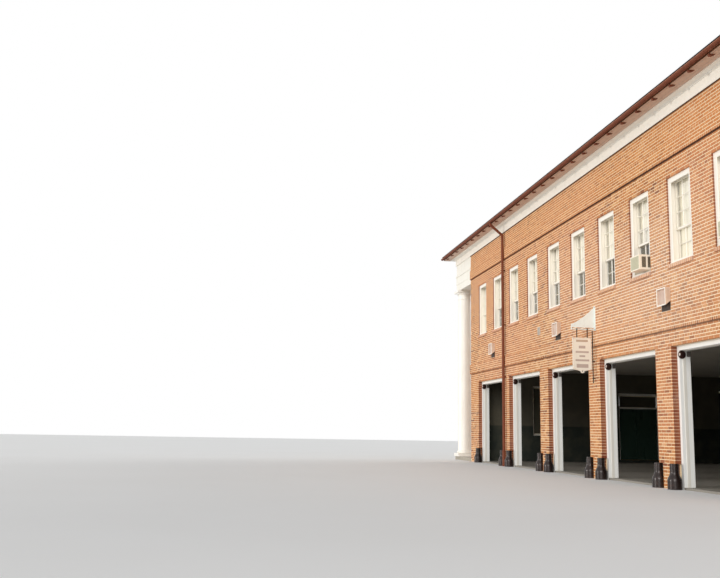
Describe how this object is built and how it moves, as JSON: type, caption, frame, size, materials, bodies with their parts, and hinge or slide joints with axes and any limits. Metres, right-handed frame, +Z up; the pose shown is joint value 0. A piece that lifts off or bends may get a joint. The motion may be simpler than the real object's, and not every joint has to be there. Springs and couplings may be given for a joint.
{
  "type": "two-storey fire station building",
  "caption": "Two-storey brick fire station with a row of open engine bays, sash windows, white cornice, slate gable roof and columned portico.",
  "frame": {"origin": "on the ground, at the centre of the brick walls' plan", "axes": "+X along the bay side towards the plain end, -Y out of the engine bays, +Z up"},
  "size_m": [25.062, 15.9197, 12.9999],
  "materials": {
    "brick": "matte",
    "concrete": "matte",
    "boards": "matte",
    "white_paint": "satin",
    "window_glass": "gloss",
    "black_iron": "satin",
    "cream_metal": "satin",
    "pale_metal": "satin",
    "sign_paint": "satin",
    "rust_paint": "satin",
    "slate": "matte"
  },
  "bodies": {
    "building": {"ground_slab": "concrete", "upper_floor": "concrete", "attic_floor": "boards", "front_piers": "brick", "front_wall": "brick", "rear_wall": "brick", "near_end_wall": "brick", "portico_end_wall": "brick", "bay_frames": "white_paint", "wheel_guards": "black_iron", "bay_bells": "black_iron", "front_window_frames": "white_paint", "front_sashes": "white_paint", "front_glass": "window_glass", "rear_window_frames": "white_paint", "rear_sashes": "white_paint", "rear_glass": "window_glass", "end_window_frames": "white_paint", "end_sashes": "white_paint", "end_glass": "window_glass", "wall_lamps": "cream_metal", "air_conditioners": "cream_metal", "wall_vent": "pale_metal", "sign_bracket": "pale_metal", "sign_conduit": "black_iron", "front_downspout": "rust_paint", "rear_downspout": "rust_paint", "front_cornice": "white_paint", "rear_cornice": "white_paint", "front_gutter": "rust_paint", "rear_gutter": "rust_paint", "portico_floor": "concrete", "columns": "white_paint", "entablature": "white_paint", "portico_ceiling": "white_paint", "pediment": "white_paint", "portico_cornice": "white_paint", "raking_cornices": "white_paint", "entrance_frame": "white_paint", "entrance_doors": "white_paint", "front_roof": "slate", "rear_roof": "slate", "ridge_cap": "slate"},
    "sign": {"sign_board": "sign_paint"}
  },
  "joints": [
    {"name": "sign_swing", "type": "hinge", "parent": "building", "child": "sign", "pos_m": [2.14, -7.7, 4.09], "axis": [0, 1, 0], "range_deg": [-25, 25]}
  ]
}
